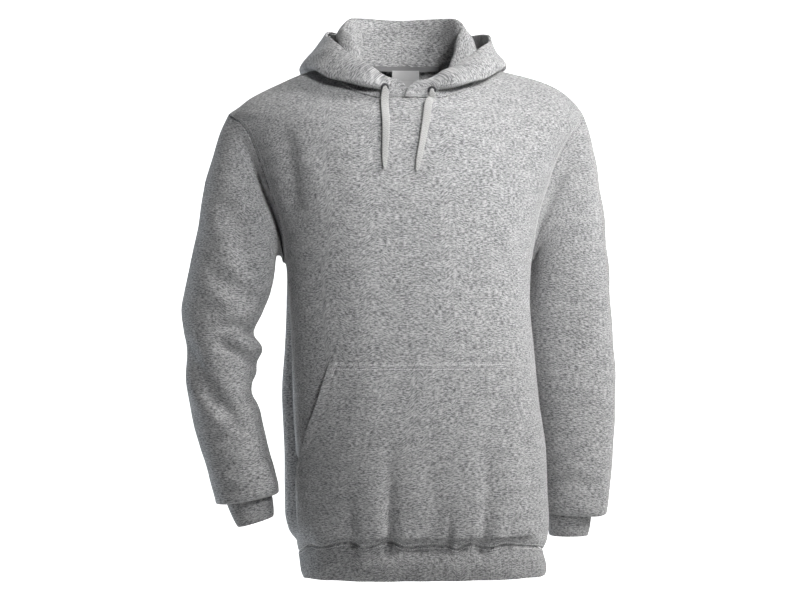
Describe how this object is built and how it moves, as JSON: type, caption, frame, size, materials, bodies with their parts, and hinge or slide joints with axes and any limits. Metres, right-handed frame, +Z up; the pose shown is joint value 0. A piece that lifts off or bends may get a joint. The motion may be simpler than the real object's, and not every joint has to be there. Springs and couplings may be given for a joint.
{
  "type": "pullover hoodie",
  "caption": "Grey fleece pullover hoodie filled out as worn, hollow inside, with the hood folded back, a front pouch pocket, rib hem and cuffs, and a drawstring.",
  "frame": {"origin": "middle of the neck opening, level with the tops of the shoulder seams, where a neck stands in it", "axes": "+X to the right of someone who faces the chest, -Y towards the chest side, +Z up"},
  "size_m": [0.617, 0.3143, 0.7824],
  "materials": {
    "fleece": "heather-grey melange jersey face of brushed fleece",
    "lining": "heather-grey melange jersey, the hood's inner layer",
    "rib": "fine grey melange rib knit",
    "tape": "light grey jersey neck tape",
    "label": "plain woven label, blank",
    "metal": "dark gunmetal",
    "cord": "light grey flat braid"
  },
  "bodies": {
    "root": {"front": "fleece", "back": "fleece", "sleeve_left": "fleece", "sleeve_right": "fleece", "cuff_left": "rib", "cuff_right": "rib", "hem_band": "rib", "pocket": "fleece", "hood_shell_left": "fleece", "hood_shell_right": "fleece", "hood_lining_left": "lining", "hood_lining_right": "lining", "neck_tape": "tape", "neck_label": "label", "eyelet_left": "metal", "eyelet_right": "metal", "drawstring_left": "cord", "drawstring_right": "cord"}
  },
  "joints": []
}
